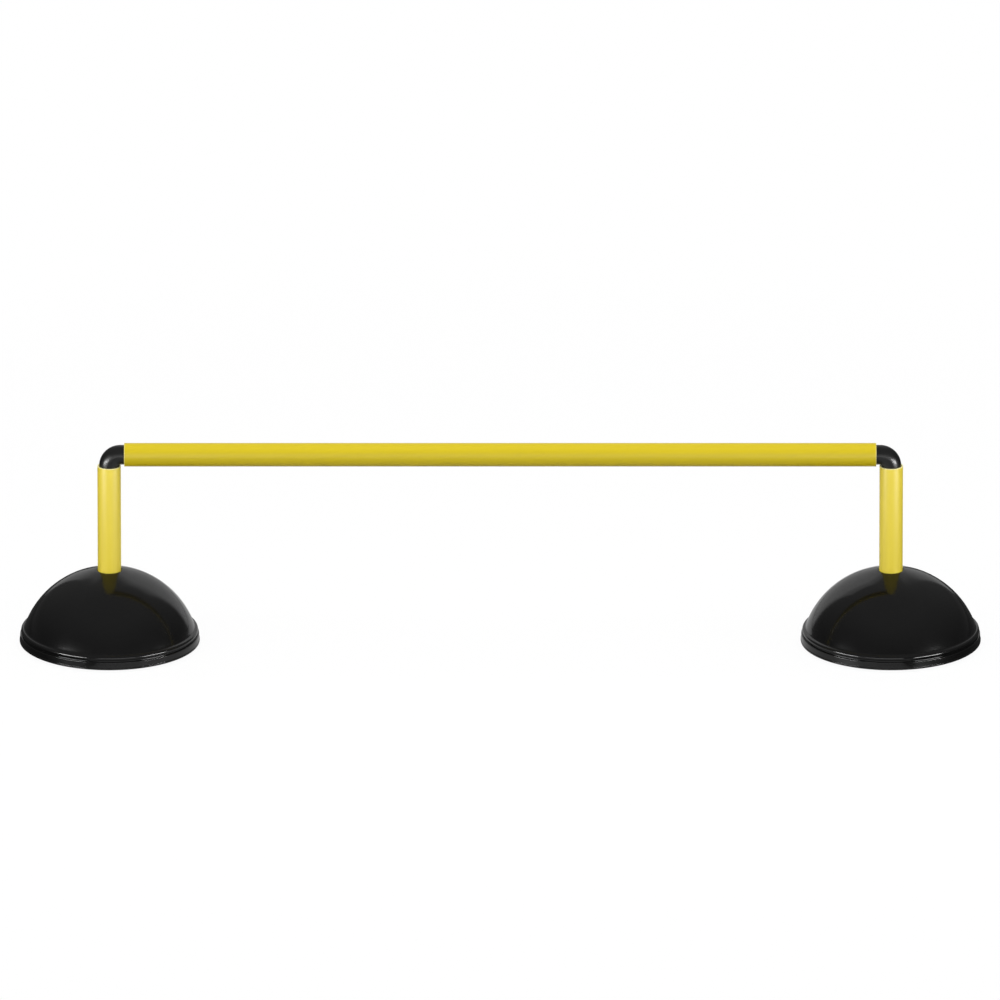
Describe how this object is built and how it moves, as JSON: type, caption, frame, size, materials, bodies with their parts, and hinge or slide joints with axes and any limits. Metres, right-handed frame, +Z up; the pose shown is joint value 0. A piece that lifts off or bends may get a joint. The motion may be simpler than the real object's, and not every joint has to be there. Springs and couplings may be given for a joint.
{
  "type": "agility training hurdle",
  "caption": "Low free-standing speed hurdle: a yellow tube crossbar plugged by black elbows onto short uprights that stand in weighted black dome bases.",
  "frame": {"origin": "on the floor, midway between the two dome bases", "axes": "+X along the crossbar from the left base to the right base, +Z up"},
  "size_m": [1.024, 0.192, 0.2237],
  "materials": {
    "bar_tube": "extruded yellow tube, satin gloss",
    "upright_tube": "extruded yellow tube, satin gloss",
    "elbow": "moulded black plastic, satin",
    "base_shell": "moulded black plastic, glossy",
    "socket": "moulded black plastic, matt",
    "ballast": "cast cement, rough",
    "base_plate": "moulded black plastic, fine matt grain",
    "screws": "zinc plated steel",
    "feet": "black rubber, matt"
  },
  "bodies": {
    "crossbar": {"crossbar": "bar_tube"},
    "left_elbow": {"left_elbow": "elbow"},
    "left_upright": {"left_upright": "upright_tube"},
    "left_base": {"left_dome_shell": "base_shell", "left_pole_socket": "socket", "left_ballast": "ballast", "left_base_plate": "base_plate", "left_base_screws": "screws", "left_foot_pads": "feet"},
    "right_elbow": {"right_elbow": "elbow"},
    "right_upright": {"right_upright": "upright_tube"},
    "right_base": {"right_dome_shell": "base_shell", "right_pole_socket": "socket", "right_ballast": "ballast", "right_base_plate": "base_plate", "right_base_screws": "screws", "right_foot_pads": "feet"}
  },
  "joints": [
    {"name": "left_elbow_turn", "type": "hinge", "parent": "crossbar", "child": "left_elbow", "pos_m": [-0.4, 0, 0.2112], "axis": [1, 0, 0], "continuous": true},
    {"name": "left_upright_swivel", "type": "hinge", "parent": "left_elbow", "child": "left_upright", "pos_m": [-0.416, 0, 0.199], "axis": [0, 0, 1], "continuous": true},
    {"name": "left_base_pull", "type": "slide", "parent": "left_upright", "child": "left_base", "axis": [0, 0, -1], "range_m": [0, 0.08]},
    {"name": "right_elbow_turn", "type": "hinge", "parent": "crossbar", "child": "right_elbow", "pos_m": [0.4, 0, 0.2112], "axis": [1, 0, 0], "continuous": true},
    {"name": "right_upright_swivel", "type": "hinge", "parent": "right_elbow", "child": "right_upright", "pos_m": [0.416, 0, 0.199], "axis": [0, 0, 1], "continuous": true},
    {"name": "right_base_pull", "type": "slide", "parent": "right_upright", "child": "right_base", "axis": [0, 0, -1], "range_m": [0, 0.08]}
  ]
}
